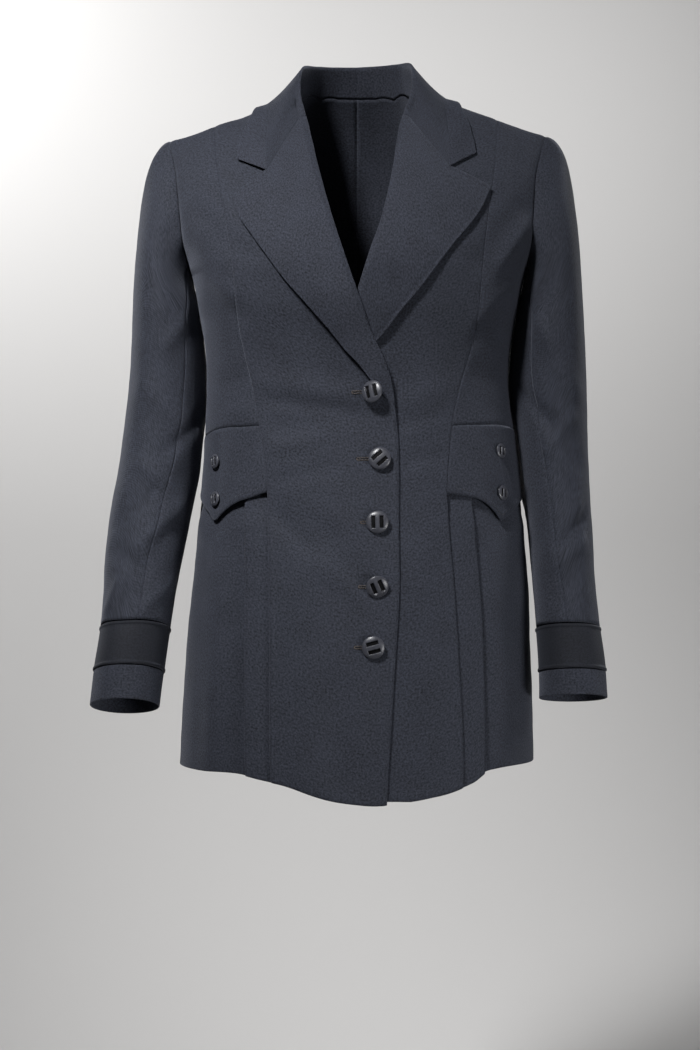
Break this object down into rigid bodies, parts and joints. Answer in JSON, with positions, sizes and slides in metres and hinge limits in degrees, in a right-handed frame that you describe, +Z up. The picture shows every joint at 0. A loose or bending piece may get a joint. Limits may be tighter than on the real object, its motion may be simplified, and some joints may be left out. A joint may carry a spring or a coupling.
{
  "type": "tailored suit jacket",
  "caption": "Fitted single-breasted wool jacket with notched collar, inset waist bands with side pleats below, domed buttons and banded sleeves, in its hollow worn form.",
  "frame": {"origin": "centre of the neck opening, level with the points where the shoulder lines meet the neck", "axes": "+Z up, the front faces -Y, +X towards the wearer's left"},
  "size_m": [0.5279, 0.2844, 0.7633],
  "materials": {
    "cloth": "fine matt wool twill",
    "band_cloth": "slightly satiny woven band",
    "button": "polished, domed"
  },
  "bodies": {
    "root": {"front_right": "cloth", "front_left": "cloth", "side_front_right": "cloth", "side_front_left": "cloth", "waist_band_right": "cloth", "waist_band_left": "cloth", "pleated_skirt_right": "cloth", "pleated_skirt_left": "cloth", "back_right": "cloth", "back_left": "cloth", "collar": "cloth", "lapel_right": "cloth", "lapel_left": "cloth", "top_sleeve_right": "cloth", "top_sleeve_left": "cloth", "under_sleeve_right": "cloth", "under_sleeve_left": "cloth", "cuff_right": "cloth", "cuff_left": "cloth", "cuff_band_right": "band_cloth", "cuff_band_left": "band_cloth", "front_button_1": "button", "front_button_2": "button", "front_button_3": "button", "front_button_4": "button", "front_button_5": "button", "side_button_right_upper": "button", "side_button_right_lower": "button", "side_button_left_upper": "button", "side_button_left_lower": "button"}
  },
  "joints": []
}
